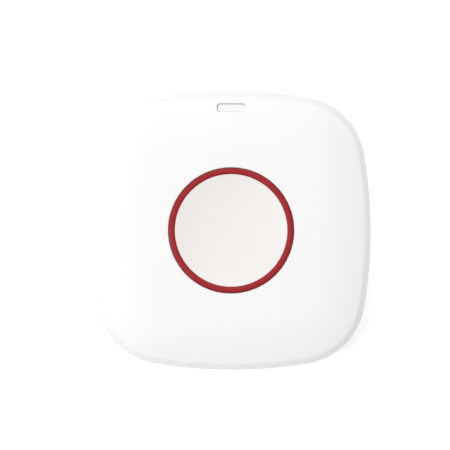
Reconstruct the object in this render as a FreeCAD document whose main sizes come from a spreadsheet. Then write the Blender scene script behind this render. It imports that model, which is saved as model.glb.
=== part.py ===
import FreeCAD, Part
import math
import os
import Sketcher
from FreeCAD import Vector

# Wireless panic button: a cushion-shaped two-shell case that lies on its flat back.
# Millimetres. The origin is the centre of the back face, +Z points out of the
# front face, +Y points to the light window and +X to the right of it.

SIZES = {
    # outline seen from the front: four bowed sides joined by four corner arcs
    "cover_width": 64.0,
    "corner_radius": 15.8,
    "side_radius": 106.2,
    # front cover section
    "parting_height": 4.0,
    "side_draft": 0.5,
    "band_width": 1.3,
    "band_rise": 1.3,
    "shoulder_width": 11.2,
    "shoulder_drop": 1.7,
    "cover_wall": 2.1,
    "roof_thickness": 1.9,
    "rib_width": 1.0,
    "rib_depth": 2.2,
    "rib_angle": 22.5,
    # button: ring, dished cap and the carrier below them
    "ring_radius": 14.25,
    "ring_width": 1.3,
    "ring_height": 2.1,
    "ring_crown": 0.15,
    "ring_foot_height": 0.7,
    "ring_foot_width": 2.05,
    "ring_gap": 0.35,
    "ring_proud": 0.2,
    "hole_edge": 0.3,
    "cap_gap": 0.04,
    "cap_set_down": 0.15,
    "dish_depth": 1.3,
    "press_travel": 0.5,
    "press_reserve": 0.12,
    "carrier_disc_thickness": 1.0,
    "stem_radius": 2.4,
    "stem_length": 0.35,
    "skirt_inset": 0.95,
    "skirt_thickness": 1.0,
    "skirt_length": 2.4,
    "guide_clearance": 0.05,
    "stop_gap": 0.05,
    "hook_width": 7.0,
    "hook_reach": 1.0,
    "hook_height": 0.8,
    "collar_thickness": 1.8,
    "stake_radius": 0.8,
    "stake_margin": 2.9,
    # rear cover
    "floor_thickness": 2.0,
    "rear_step": 0.25,
    "rear_draft": 0.25,
    "rear_edge": 1.1,
    "parting_gap": 0.3,
    "tongue_thickness": 1.2,
    "tongue_height": 2.4,
    "tongue_clearance": 0.15,
    # battery door and its seat
    "door_reach": 2.95,
    "door_gap": 0.25,
    "door_inset": 0.1,
    "door_flange": 1.3,
    "door_floor": 1.6,
    "door_edge": 0.4,
    "recess_depth": 1.5,
    "ledge_thickness": 1.6,
    "spigot_wall": 1.0,
    "spigot_clearance": 0.2,
    "seat_wall": 1.45,
    "lug_reach": 1.25,
    "lug_angle": 26.0,
    "lug_height": 0.8,
    "lug_clearance": 0.1,
    "notch_spare_angle": 4.0,
    "unlock_angle": 45.0,
    "coin_slot_length": 15.0,
    "coin_slot_width": 2.2,
    "coin_slot_depth": 0.8,
    "seal_inset": 0.6,
    "seal_width": 0.9,
    "seal_height": 0.75,
    "seal_clearance": 0.05,
    # coin cell, its holder and its springs
    "cell_radius": 12.25,
    "cell_height": 5.0,
    "cell_side_gap": 0.3,
    "cell_end_gap": 0.1,
    "cell_cap_radius": 10.9,
    "cell_cap_step": 0.25,
    "holder_wall": 1.2,
    "holder_height": 3.3,
    "contact_space": 0.8,
    "contact_thickness": 0.2,
    "contact_width": 3.4,
    "contact_foot": 2.4,
    "contact_lip": 0.3,
    # circuit board and what stands on it
    "board_margin": 7.0,
    "board_notch_gap": 0.6,
    "board_thickness": 1.0,
    "board_tab_half_width": 8.0,
    "board_tab_length": 3.3,
    "post_offset": 0.75,
    "post_angle": 45.0,
    "post_radius": 2.4,
    "switch_width": 6.2,
    "switch_body_height": 3.1,
    "switch_plate_thickness": 0.3,
    "switch_height": 4.3,
    "plunger_radius": 1.75,
    "plunger_flange_radius": 2.4,
    "plunger_flange_height": 0.75,
    "plunger_clearance": 0.08,
    "stem_gap": 0.05,
    "frame_thickness": 1.4,
    "frame_window_radius": 4.9,
    "frame_ring_radius": 9.0,
    "frame_arm_width": 3.2,
    "spring_radius": 6.0,
    "spring_wire": 0.6,
    "spring_turns": 2.5,
    "spring_end_gap": 0.05,
    "shield_length": 12.0,
    "shield_width": 9.0,
    "shield_height": 1.6,
    "shield_margin": 3.0,
    "shield_edge": 0.4,
    "crystal_width": 2.5,
    "crystal_length": 5.0,
    "crystal_height": 1.0,
    "crystal_margin": 9.5,
    "crystal_edge": 0.3,
    "chip_width": 5.0,
    "chip_height": 0.85,
    "chip_margin": 9.5,
    "capacitor_length": 1.6,
    "capacitor_width": 0.8,
    "capacitor_height": 0.8,
    "capacitor_offset": 4.2,
    "capacitor_pitch": 1.6,
    "led_length": 3.0,
    "led_width": 1.4,
    "led_height": 0.7,
    "antenna_wire": 0.7,
    "antenna_half_length": 12.0,
    "antenna_height": 2.2,
    "antenna_margin": 3.5,
    # light window
    "window_length": 6.5,
    "window_width": 1.9,
    "window_corner": 0.7,
    "window_margin": 3.9,
    "window_recess": 0.25,
    "window_clearance": 0.04,
    # fasteners
    "case_screw_margin": 11.5,
    "case_boss_radius": 3.0,
    "tower_radius": 3.4,
    "tower_height": 4.2,
    "case_head_radius": 1.9,
    "case_head_height": 1.3,
    "case_head_depth": 0.2,
    "case_shank_radius": 1.0,
    "case_shank_length": 8.6,
    "board_head_radius": 1.7,
    "board_head_height": 1.0,
    "board_shank_radius": 0.8,
    "board_shank_length": 5.6,
    "thread_clearance": 0.03,
    "hole_clearance": 0.25,
    # keyholes that hang the case on two wall screws
    "keyhole_margin": 9.0,
    "keyhole_drop": 2.5,
    "keyhole_entry_radius": 3.75,
    "keyhole_slot_radius": 2.0,
    "keyhole_slot_length": 6.5,
    "keyhole_pocket_height": 3.2,
    "keyhole_pocket_wall": 1.0,
    "keyhole_pocket_spare": 0.65,
}


class Size:
    """A length or angle that knows its number and the spreadsheet formula behind it."""

    def __init__(self, number, formula):
        self.number = number
        self.formula = formula

    def __float__(self):
        return float(self.number)

    def __add__(self, other):
        other = as_size(other)
        return Size(self.number + other.number, f"({self.formula} + {other.formula})")

    def __sub__(self, other):
        other = as_size(other)
        return Size(self.number - other.number, f"({self.formula} - {other.formula})")

    def __mul__(self, other):
        other = as_size(other)
        return Size(self.number * other.number, f"({self.formula} * {other.formula})")

    def __truediv__(self, other):
        other = as_size(other)
        return Size(self.number / other.number, f"({self.formula} / {other.formula})")

    def __neg__(self):
        return Size(-self.number, f"(-1 * {self.formula})")

    __radd__ = __add__


def as_size(value):
    return value if isinstance(value, Size) else Size(value, repr(float(value)))


def cosine(angle):
    return Size(math.cos(math.radians(angle.number)), f"cos({angle.formula} * 1 deg)")


def sine(angle):
    return Size(math.sin(math.radians(angle.number)), f"sin({angle.formula} * 1 deg)")


doc = FreeCAD.newDocument("PanicButton")
sheet = doc.addObject("Spreadsheet::Sheet", "Sizes")
for row, (alias, value) in enumerate(SIZES.items(), start=1):
    sheet.set(f"A{row}", alias)
    sheet.set(f"B{row}", str(value))
    sheet.setAlias(f"B{row}", alias)
doc.recompute()


class Sheet:
    """The spreadsheet's cells, read by their alias."""

    def __getattr__(self, alias):
        return Size(SIZES[alias], f"Sizes.{alias}")


s = Sheet()
ZERO = as_size(0)

# Levels above the back face, from the floor of the battery door up to the button.
door_top = s.door_inset + s.door_floor
flange_top = s.door_inset + s.door_flange
ledge_top = s.recess_depth + s.ledge_thickness
lug_bottom = ledge_top + s.lug_clearance
spigot_top = lug_bottom + s.lug_height
cell_bottom = door_top + s.cell_end_gap
cell_top = cell_bottom + s.cell_height
board_bottom = cell_top + s.contact_space
board_top = board_bottom + s.board_thickness
frame_top = board_top + s.frame_thickness
plunger_top = board_top + s.switch_height
stem_bottom = plunger_top + s.stem_gap
disc_bottom = stem_bottom + s.stem_length
carrier_top = disc_bottom + s.carrier_disc_thickness
ring_edge_level = carrier_top + s.ring_height
face_level = ring_edge_level - s.ring_proud
crease_level = face_level - s.shoulder_drop
band_level = crease_level - s.band_rise
ceiling_level = face_level - s.roof_thickness
skirt_bottom = carrier_top - s.carrier_disc_thickness - s.skirt_length
hook_top = skirt_bottom + s.hook_height
collar_bottom = hook_top + s.stop_gap
collar_step = carrier_top - s.press_travel - s.press_reserve

case_screw_seat = s.case_head_depth + s.case_head_height
board_screw_tip = frame_top - s.board_shank_length
seal_bottom = flange_top + s.seal_clearance
seal_top = seal_bottom + s.seal_height
switch_plate_bottom = board_top + s.switch_body_height
plunger_rest = switch_plate_bottom - s.stop_gap - s.plunger_flange_height
light_gap_top = board_top + s.led_height + s.cell_end_gap

# Radii about the middle of the button.
hole_radius = s.ring_radius + s.ring_gap
ring_inner_radius = s.ring_radius - s.ring_width
cap_radius = ring_inner_radius - s.cap_gap
foot_inner_radius = s.ring_radius - s.ring_foot_width
skirt_radius = s.ring_radius - s.skirt_inset
stake_circle = skirt_radius - s.stake_margin
guide_radius = skirt_radius + s.guide_clearance
collar_radius = hole_radius + s.collar_thickness
well_radius = s.cell_radius + s.cell_side_gap
spigot_radius = well_radius + s.spigot_wall
opening_radius = spigot_radius + s.spigot_clearance
lug_radius = spigot_radius + s.lug_reach
door_radius = spigot_radius + s.door_reach
seal_radius = door_radius - s.seal_inset
recess_radius = door_radius + s.door_gap
seat_radius = recess_radius + s.seat_wall
post_circle = seat_radius + s.post_offset

# Half widths of the outline at the section's corners, and the outline's own shape.
half_width = s.cover_width / 2
bow_share = (half_width - s.corner_radius) / (s.side_radius - s.corner_radius)
flat_inset = s.band_width + s.shoulder_width
inner_inset = s.side_draft + s.cover_wall
rear_inset = s.side_draft + s.rear_step
rear_top = s.parting_height - s.parting_gap
tongue_inset = inner_inset + s.tongue_clearance

# Places that follow the outline.
case_screw_offset = half_width - s.case_screw_margin
keyhole_offset = half_width - s.keyhole_margin
window_offset = half_width - s.window_margin
board_half_width = half_width - s.board_margin
chip_offset = board_half_width - s.chip_margin
crystal_offset = board_half_width - s.crystal_margin
shield_offset = board_half_width - s.shield_margin - s.shield_width / 2
antenna_offset = board_half_width - s.antenna_margin

# Gentle curves are built from a few straight steps of their section.
SHOULDER_STEPS = 3
DISH_STEPS = 3
COIL_STEPS = 12
# Where the middle of a quarter round lies, as a share of its radius in from the corner.
ROUND_SHARE = 1 - math.sqrt(0.5)

# How a sketch numbers its axes and the points of a line, arc or circle.
H_AXIS, V_AXIS = range(-1, -3, -1)
START, END, CENTRE = range(1, 4)
ORIGIN = START

RIBS = 8
TOLERANCE = 1e-6
sub_parts = []


def face_level_at(inset):
    """Height of the front face at a distance in from the outline, on its shoulder."""
    share = (flat_inset - inset) / s.shoulder_width
    return face_level - s.shoulder_drop * share * share


window_ceiling = face_level_at(half_width - window_offset) - s.roof_thickness
led_offset = window_offset - s.led_width / 2


def is_upright(edge):
    """Whether an edge runs straight along Z."""
    box = edge.BoundBox
    return max(box.XLength, box.YLength) < TOLERANCE


def new_body(name):
    body = doc.addObject("PartDesign::Body", name)
    body.Label = name
    sub_parts.append(body)
    return body


def axis_of(body, role):
    return next(item for item in body.Origin.OriginFeatures if item.Role == role)


def new_sketch(body, name, role="XY_Plane", level=None, turn=0.0):
    """A sketch on one of the body's own planes, lifted to a level and turned about its normal."""
    sketch = body.newObject("Sketcher::SketchObject", f"{body.Name}_{name}")
    sketch.AttachmentSupport = [(axis_of(body, role), "")]
    sketch.MapMode = "FlatFace"
    lift = Vector(0, 0, float(level) if level else 0.0)
    sketch.AttachmentOffset = FreeCAD.Placement(lift, FreeCAD.Rotation(Vector(0, 0, 1), turn))
    if level:
        sketch.setExpression("AttachmentOffset.Base.z", level.formula)
    return sketch


def drive(sketch, constraint, size):
    """Add a constraint and tie its value to the spreadsheet."""
    index = sketch.addConstraint(constraint)
    sketch.setExpression(f"Constraints[{index}]", size.formula)


def place_point(sketch, geometry, vertex, x, y):
    """Hold one point of a sketch at its distances from the sketch's origin."""
    for kind, size, axis in (("DistanceX", x, V_AXIS), ("DistanceY", y, H_AXIS)):
        if size is ZERO:
            sketch.addConstraint(Sketcher.Constraint("PointOnObject", geometry, vertex, axis))
        else:
            rule = Sketcher.Constraint(kind, H_AXIS, ORIGIN, geometry, vertex, float(size))
            drive(sketch, rule, size)


def circle(sketch, radius, x=ZERO, y=ZERO):
    middle = Vector(float(x), float(y), 0)
    index = sketch.addGeometry(Part.Circle(middle, Vector(0, 0, 1), float(radius)))
    place_point(sketch, index, CENTRE, x, y)
    drive(sketch, Sketcher.Constraint("Radius", index, float(radius)), radius)


def arc_between(start, end, radius):
    """The shorter arc from start to end; a positive radius turns left, a negative one right."""
    chord = end - start
    left = Vector(-chord.y, chord.x, 0).normalize()
    side = 1 if float(radius) > 0 else -1
    reach = math.sqrt(float(radius) ** 2 - chord.Length ** 2 / 4)
    centre = (start + end) * 0.5 + left * reach * side
    return Part.Arc(start, centre - left * abs(float(radius)) * side, end)


def outline(sketch, corners):
    """A closed loop through corners (x, y); a third value makes the edge that arrives there an arc."""
    points = [Vector(float(corner[0]), float(corner[1]), 0) for corner in corners]
    edges = []
    for index, corner in enumerate(corners):
        start, end = points[index - 1], points[index]
        if len(corner) == 3:
            edges.append(sketch.addGeometry(arc_between(start, end, corner[2])))
            size = corner[2] if float(corner[2]) > 0 else -corner[2]
            drive(sketch, Sketcher.Constraint("Radius", edges[-1], float(size)), size)
        else:
            edges.append(sketch.addGeometry(Part.LineSegment(start, end)))
    for index, corner in enumerate(corners):
        arriving = edges[index]
        leaving = edges[(index + 1) % len(edges)]
        ends = []
        for edge in (arriving, leaving):
            nearest = min((START, END), key=lambda v: (sketch.getPoint(edge, v) - points[index]).Length)
            ends.append((edge, nearest))
        sketch.addConstraint(Sketcher.Constraint("Coincident", *ends[0], *ends[1]))
        place_point(sketch, *ends[0], corner[0], corner[1])


def run(sketch, corners):
    """An open path of straight lines through corners (x, y)."""
    points = [Vector(float(x), float(y), 0) for x, y in corners]
    for start, end in zip(points, points[1:]):
        sketch.addGeometry(Part.LineSegment(start, end))
    place_point(sketch, 0, START, *corners[0])
    for line, corner in enumerate(corners[1:]):
        if line:
            sketch.addConstraint(Sketcher.Constraint("Coincident", line - 1, END, line, START))
        place_point(sketch, line, END, *corner)


def rectangle(sketch, low_x, low_y, high_x, high_y):
    outline(sketch, [(low_x, low_y), (high_x, low_y), (high_x, high_y), (low_x, high_y)])


def rounded_rectangle(sketch, half_x, half_y, corner, y=ZERO):
    """A rectangle with round corners, centred on the sketch's y axis."""
    low, high = y - half_y, y + half_y
    outline(sketch, [
        (half_x - corner, low),
        (half_x, low + corner, corner),
        (half_x, high - corner),
        (half_x - corner, high, corner),
        (corner - half_x, high),
        (-half_x, high - corner, corner),
        (-half_x, low + corner),
        (corner - half_x, low, corner),
    ])


def sector(sketch, inner, outer, half_angle):
    """A block between two radii, centred on the sketch's x axis, with its outer edge an arc."""
    across, along = sine(half_angle), cosine(half_angle)
    outline(sketch, [
        (inner * along, -(inner * across)),
        (outer * along, -(outer * across)),
        (outer * along, outer * across, outer),
        (inner * along, inner * across),
    ])


def cushion(sketch, inset):
    """The case's outline, moved in by an inset: four bowed sides and four corners, all tangent."""
    half = half_width - inset
    corner = s.corner_radius - inset
    bow = corner + (half - corner) / bow_share
    centre_offset = half - bow
    spread = math.pi / 4 + math.asin((float(bow_share) - 1) / math.sqrt(2))
    corner_offset = (float(bow) - float(corner)) * math.sin(spread)
    up = Vector(0, 0, 1)
    for quarter in range(4):
        start = quarter * math.pi / 2
        end = start + math.pi / 2
        aim = Vector(math.cos(start), math.sin(start), 0)
        side = Part.Circle(aim * float(centre_offset), up, float(bow))
        sketch.addGeometry(Part.ArcOfCircle(side, start - spread, start + spread))
        diagonal = aim + Vector(math.cos(end), math.sin(end), 0)
        round_corner = Part.Circle(diagonal * corner_offset, up, float(corner))
        sketch.addGeometry(Part.ArcOfCircle(round_corner, start + spread, end - spread))
    for index in range(8):
        follower = (index + 1) % 8
        sketch.addConstraint(Sketcher.Constraint("Tangent", index, END, follower, START))
    for quarter in range(4):
        side = 2 * quarter
        drive(sketch, Sketcher.Constraint("Radius", side, float(bow)), bow)
        drive(sketch, Sketcher.Constraint("Radius", side + 1, float(corner)), corner)
        kind, axis = ("DistanceX", H_AXIS) if quarter % 2 == 0 else ("DistanceY", V_AXIS)
        offset = centre_offset if quarter < 2 else -centre_offset
        sketch.addConstraint(Sketcher.Constraint("PointOnObject", side, CENTRE, axis))
        rule = Sketcher.Constraint(kind, H_AXIS, ORIGIN, side, CENTRE, float(offset))
        drive(sketch, rule, offset)


def feature(body, kind, sketch, name):
    """A feature on a sketch; the check that it adds or removes material comes after its set-up."""
    item = body.newObject(kind, f"{sketch.Name}_{name}")
    item.Profile = sketch
    return item


def finish(body, item, adds):
    """Recompute a feature and stop if it left the body no larger, or no smaller, than it should."""
    before = item.BaseFeature.Shape.Volume if item.BaseFeature else 0.0
    doc.recompute()
    gained = item.Shape.Volume - before
    if "Invalid" in item.State or (gained > 0) != adds or abs(gained) < TOLERANCE:
        raise RuntimeError(f"{item.Name} changed the volume by {gained:.4f}")
    body.Tip = item
    return item


def pad(body, sketch, length, downward=False):
    item = feature(body, "PartDesign::Pad", sketch, "pad")
    item.Length = float(length)
    item.setExpression("Length", length.formula)
    item.Reversed = downward
    return finish(body, item, True)


def pad_both_ways(body, sketch, length):
    """A pad that grows by half of its length to each side of the sketch."""
    item = feature(body, "PartDesign::Pad", sketch, "pad")
    item.Length = float(length)
    item.setExpression("Length", length.formula)
    item.Midplane = True
    return finish(body, item, True)


def pocket(body, sketch, depth, upward=True):
    item = feature(body, "PartDesign::Pocket", sketch, "pocket")
    item.Length = float(depth)
    item.setExpression("Length", depth.formula)
    item.Reversed = upward
    return finish(body, item, False)


def revolve(body, sketch):
    item = feature(body, "PartDesign::Revolution", sketch, "turned")
    item.ReferenceAxis = (sketch, ["V_Axis"])
    item.Angle = 360
    return finish(body, item, True)


def groove(body, sketch):
    item = feature(body, "PartDesign::Groove", sketch, "groove")
    item.ReferenceAxis = (sketch, ["V_Axis"])
    item.Angle = 360
    return finish(body, item, False)


def sweep(body, profile, path):
    item = feature(body, "PartDesign::AdditivePipe", profile, "swept")
    item.Spine = path
    item.Transition = "Right corner"
    return finish(body, item, True)


def around(body, original, count, adds=True):
    """Copies of a feature, evenly spaced about the Z axis."""
    item = body.newObject("PartDesign::PolarPattern", f"{original.Name}_around")
    item.Originals = [original]
    item.Axis = (axis_of(body, "Z_Axis"), [""])
    item.Angle = 360
    item.Occurrences = count
    before = original.Shape.Volume
    doc.recompute()
    if (item.Shape.Volume > before) != adds:
        raise RuntimeError(f"{item.Name} made no copies")
    body.Tip = item
    return item


def mirror_across(body, originals, role, adds=True):
    """Copies of features on the other side of one of the body's planes."""
    item = body.newObject("PartDesign::Mirrored", f"{originals[-1].Name}_mirrored")
    item.Originals = originals
    item.MirrorPlane = (axis_of(body, role), [""])
    before = originals[-1].Shape.Volume
    doc.recompute()
    if (item.Shape.Volume > before) != adds:
        raise RuntimeError(f"{item.Name} made no copy")
    body.Tip = item
    return item


def round_edges(body, base, radius, wanted, kind="PartDesign::Fillet"):
    """Fillet or chamfer the edges of a feature for which wanted(edge) holds."""
    names = [f"Edge{n}" for n, edge in enumerate(base.Shape.Edges, 1) if wanted(edge)]
    item = body.newObject(kind, f"{base.Name}_edges")
    item.Base = (base, names)
    prop = "Radius" if kind == "PartDesign::Fillet" else "Size"
    setattr(item, prop, float(radius))
    item.setExpression(prop, radius.formula)
    doc.recompute()
    body.Tip = item
    return item


def turned_part(name, corners):
    """A body turned about the Z axis from a section of (radius, height) corners."""
    body = new_body(name)
    section = new_sketch(body, "section", "XZ_Plane")
    outline(section, corners)
    revolve(body, section)
    return body


def front_cover():
    """Moulded cover: side wall, sloping band, round shoulder and flat top, with the button's collar."""
    body = new_body("front_cover")
    path = new_sketch(body, "outline", "XY_Plane", s.parting_height)
    cushion(path, s.side_draft)
    section = new_sketch(body, "section", "XZ_Plane")
    shoulder = []
    for step in range(SHOULDER_STEPS + 1):
        inset = s.band_width + s.shoulder_width * step / SHOULDER_STEPS
        shoulder.append((half_width - inset, face_level_at(inset)))
    outline(section, [
        (half_width - s.side_draft, s.parting_height),
        (half_width, band_level),
        *shoulder,
        (half_width - flat_inset, ceiling_level),
        (half_width - s.band_width - s.roof_thickness, crease_level - s.roof_thickness),
        (half_width - inner_inset, s.parting_height),
    ])
    sweep(body, section, path)
    middle = new_sketch(body, "middle", "XY_Plane", ceiling_level)
    cushion(middle, flat_inset)
    pad(body, middle, s.roof_thickness)

    # collar that guides the button, with a step that stops it at the end of its travel
    collar = new_sketch(body, "collar", "XZ_Plane")
    collar_top = ceiling_level + s.roof_thickness / 4
    outline(collar, [
        (guide_radius, collar_bottom),
        (collar_radius, collar_bottom),
        (collar_radius, collar_top),
        (hole_radius, collar_top),
        (hole_radius, collar_step),
        (guide_radius, collar_step),
    ])
    revolve(body, collar)

    # eight ribs tie the collar to the side wall
    rib = new_sketch(body, "rib", "XY_Plane", ceiling_level - s.rib_depth, turn=SIZES["rib_angle"])
    half_rib = s.rib_width / 2
    rib_start = collar_radius - s.collar_thickness / 2
    rectangle(rib, rib_start, -half_rib, half_width - s.side_draft, half_rib)
    around(body, pad(body, rib, s.rib_depth), RIBS)

    boss = new_sketch(body, "boss", "XY_Plane", s.tower_height)
    circle(boss, s.case_boss_radius, case_screw_offset, case_screw_offset)
    around(body, pad(body, boss, ceiling_level - s.tower_height), 4)
    bore = new_sketch(body, "bore", "XY_Plane", s.tower_height)
    bore_radius = s.case_shank_radius + s.thread_clearance
    circle(bore, bore_radius, case_screw_offset, case_screw_offset)
    bore_depth = case_screw_seat + s.case_shank_length - s.tower_height + s.case_head_height / 2
    around(body, pocket(body, bore, bore_depth), 4, adds=False)

    # hole of the button, its top edge bevelled
    hole = new_sketch(body, "hole", "XZ_Plane")
    above = face_level + s.roof_thickness
    below = ceiling_level - s.roof_thickness / 4
    outline(hole, [
        (ZERO, below),
        (hole_radius, below),
        (hole_radius, face_level - s.hole_edge),
        (hole_radius + s.hole_edge, face_level),
        (hole_radius + s.hole_edge, above),
        (ZERO, above),
    ])
    groove(body, hole)

    # niche in the side wall for the light guide, and the slot it shows through
    niche = new_sketch(body, "niche", "XY_Plane", s.parting_height)
    half_niche = s.window_length / 2 + s.window_width
    niche_inner = window_offset - s.window_width * 2
    niche_outer = window_offset + s.window_width / 2 + s.window_clearance
    rectangle(niche, -half_niche, niche_inner, half_niche, niche_outer)
    pocket(body, niche, window_ceiling - s.parting_height)
    window = new_sketch(body, "window", "XY_Plane", window_ceiling - s.roof_thickness)
    rounded_rectangle(window, s.window_length / 2, s.window_width / 2, s.window_corner, window_offset)
    pocket(body, window, face_level - window_ceiling + s.roof_thickness)


def rear_cover():
    """Moulded base: floor, side wall with a tongue, door seat, posts, screw towers and keyholes."""
    body = new_body("rear_cover")
    path = new_sketch(body, "outline", "XY_Plane", rear_top)
    cushion(path, rear_inset)
    section = new_sketch(body, "section", "XZ_Plane")
    foot = half_width - rear_inset - s.rear_draft
    tongue_outer = half_width - tongue_inset
    tongue_inner = tongue_outer - s.tongue_thickness
    tongue_top = rear_top + s.tongue_height
    outline(section, [
        (half_width - flat_inset, ZERO),
        (foot - s.rear_edge, ZERO),
        (foot - s.rear_edge * ROUND_SHARE, s.rear_edge * ROUND_SHARE),
        (foot, s.rear_edge),
        (half_width - rear_inset, rear_top),
        (tongue_outer, rear_top),
        (tongue_outer, tongue_top),
        (tongue_inner, tongue_top),
        (tongue_inner, s.floor_thickness),
        (half_width - flat_inset, s.floor_thickness),
    ])
    sweep(body, section, path)
    middle = new_sketch(body, "middle", "XY_Plane")
    cushion(middle, flat_inset)
    pad(body, middle, s.floor_thickness)
    seat = new_sketch(body, "seat", "XY_Plane")
    circle(seat, seat_radius)
    pad(body, seat, ledge_top)

    inside_floor = s.floor_thickness / 2
    post = new_sketch(body, "post", "XY_Plane", inside_floor, turn=SIZES["post_angle"])
    circle(post, s.post_radius, post_circle)
    around(body, pad(body, post, board_bottom - inside_floor), 4)
    tower = new_sketch(body, "tower", "XY_Plane", inside_floor)
    circle(tower, s.tower_radius, case_screw_offset, case_screw_offset)
    around(body, pad(body, tower, s.tower_height - inside_floor), 4)

    # box behind each keyhole that keeps the wall screw's head off the board
    entry_x = keyhole_offset
    entry_y = -s.keyhole_drop
    slot_end = entry_y + s.keyhole_slot_length
    reach = s.keyhole_entry_radius + s.keyhole_pocket_spare
    wall = s.keyhole_pocket_wall
    box = new_sketch(body, "keyhole_box", "XY_Plane", inside_floor)
    rectangle(box, recess_radius, entry_y - reach - wall,
              entry_x + reach + wall, slot_end + reach + wall)
    box_top = s.floor_thickness + s.keyhole_pocket_height + wall
    mirror_across(body, [pad(body, box, box_top - inside_floor)], "YZ_Plane")
    room = new_sketch(body, "keyhole_room", "XY_Plane", s.floor_thickness)
    rectangle(room, recess_radius + wall, entry_y - reach, entry_x + reach, slot_end + reach)
    entry = new_sketch(body, "keyhole_entry", "XY_Plane")
    circle(entry, s.keyhole_entry_radius, entry_x, entry_y)
    slot = new_sketch(body, "keyhole_slot", "XY_Plane")
    rectangle(slot, entry_x - s.keyhole_slot_radius, entry_y, entry_x + s.keyhole_slot_radius, slot_end)
    slot_round = new_sketch(body, "keyhole_end", "XY_Plane")
    circle(slot_round, s.keyhole_slot_radius, entry_x, slot_end)
    cuts = [pocket(body, room, s.keyhole_pocket_height)]
    for sketch in (entry, slot, slot_round):
        cuts.append(pocket(body, sketch, s.floor_thickness))
    mirror_across(body, cuts, "YZ_Plane", adds=False)

    # seat of the battery door: recess, opening, seal groove and three bayonet notches
    recess = new_sketch(body, "recess", "XY_Plane")
    circle(recess, recess_radius)
    pocket(body, recess, s.recess_depth)
    opening = new_sketch(body, "opening", "XY_Plane", s.recess_depth)
    circle(opening, opening_radius)
    pocket(body, opening, s.ledge_thickness)
    seal = new_sketch(body, "seal_groove", "XY_Plane", s.recess_depth)
    half_groove = s.seal_width / 2 + s.seal_clearance
    circle(seal, seal_radius - half_groove)
    circle(seal, seal_radius + half_groove)
    pocket(body, seal, seal_top + s.seal_clearance - s.recess_depth)
    notch = new_sketch(body, "notch", "XY_Plane", s.recess_depth, turn=-SIZES["unlock_angle"])
    half_notch = (s.lug_angle + s.notch_spare_angle) / 2
    sector(notch, opening_radius - s.spigot_clearance, lug_radius + s.spigot_clearance, half_notch)
    around(body, pocket(body, notch, s.ledge_thickness), 3, adds=False)

    bore_bottom = board_screw_tip - s.board_head_height / 2
    post_bore = new_sketch(body, "post_bore", "XY_Plane", bore_bottom, turn=SIZES["post_angle"])
    circle(post_bore, s.board_shank_radius + s.thread_clearance, post_circle)
    around(body, pocket(body, post_bore, board_bottom - bore_bottom), 4, adds=False)
    head_hole = new_sketch(body, "head_hole", "XY_Plane")
    circle(head_hole, s.case_head_radius + s.hole_clearance, case_screw_offset, case_screw_offset)
    around(body, pocket(body, head_hole, case_screw_seat), 4, adds=False)
    shank_hole = new_sketch(body, "shank_hole", "XY_Plane", case_screw_seat)
    circle(shank_hole, s.case_shank_radius + s.hole_clearance, case_screw_offset, case_screw_offset)
    around(body, pocket(body, shank_hole, s.tower_height - case_screw_seat), 4, adds=False)


def battery_door():
    """Round door: flange, cup that holds the cell, three bayonet lugs and a coin slot."""
    body = turned_part("battery_door", [
        (ZERO, s.door_inset),
        (door_radius - s.door_edge, s.door_inset),
        (door_radius, s.door_inset + s.door_edge),
        (door_radius, flange_top),
        (spigot_radius, flange_top),
        (spigot_radius, spigot_top),
        (well_radius, spigot_top),
        (well_radius, door_top),
        (ZERO, door_top),
    ])
    lug = new_sketch(body, "lug", "XY_Plane", lug_bottom)
    sector(lug, (spigot_radius + well_radius) / 2, lug_radius, s.lug_angle / 2)
    around(body, pad(body, lug, s.lug_height), 3)
    coin_slot = new_sketch(body, "coin_slot", "XY_Plane", s.door_inset)
    slot_corner = s.coin_slot_width / 2 - s.door_inset
    rounded_rectangle(coin_slot, s.coin_slot_length / 2, s.coin_slot_width / 2, slot_corner)
    pocket(body, coin_slot, s.coin_slot_depth)


def door_seal():
    """Square-section silicone ring in the groove above the door's flange."""
    inner, outer = seal_radius - s.seal_width / 2, seal_radius + s.seal_width / 2
    turned_part("door_seal", [
        (inner, seal_bottom),
        (outer, seal_bottom),
        (outer, seal_top),
        (inner, seal_top),
    ])


def button_cap():
    """Dished thumb cap that drops inside the ring and is staked to the carrier by three pins."""
    plug_radius = foot_inner_radius - s.cap_gap
    foot_top = carrier_top + s.ring_foot_height
    cap_edge = ring_edge_level - s.cap_set_down
    dish = []
    for step in range(DISH_STEPS):
        share = 1 - step / DISH_STEPS
        dish.append((cap_radius * share, cap_edge - s.dish_depth * (1 - share * share)))
    body = turned_part("button_cap", [
        (ZERO, carrier_top),
        (plug_radius, carrier_top),
        (plug_radius, foot_top),
        (cap_radius, foot_top),
        *dish,
        (ZERO, cap_edge - s.dish_depth),
    ])
    stake = new_sketch(body, "stake", "XY_Plane", disc_bottom)
    circle(stake, s.stake_radius, stake_circle)
    around(body, pad(body, stake, s.carrier_disc_thickness), 3)


def button_ring():
    """Red ring with a crowned top; its foot is trapped between the cap and the carrier."""
    crown_top = ring_edge_level + s.ring_crown
    bevel = s.ring_width / 3
    foot_top = carrier_top + s.ring_foot_height
    turned_part("button_ring", [
        (foot_inner_radius, carrier_top),
        (s.ring_radius, carrier_top),
        (s.ring_radius, ring_edge_level),
        (s.ring_radius - bevel, crown_top),
        (ring_inner_radius + bevel, crown_top),
        (ring_inner_radius, ring_edge_level),
        (ring_inner_radius, foot_top),
        (foot_inner_radius, foot_top),
    ])


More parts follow.
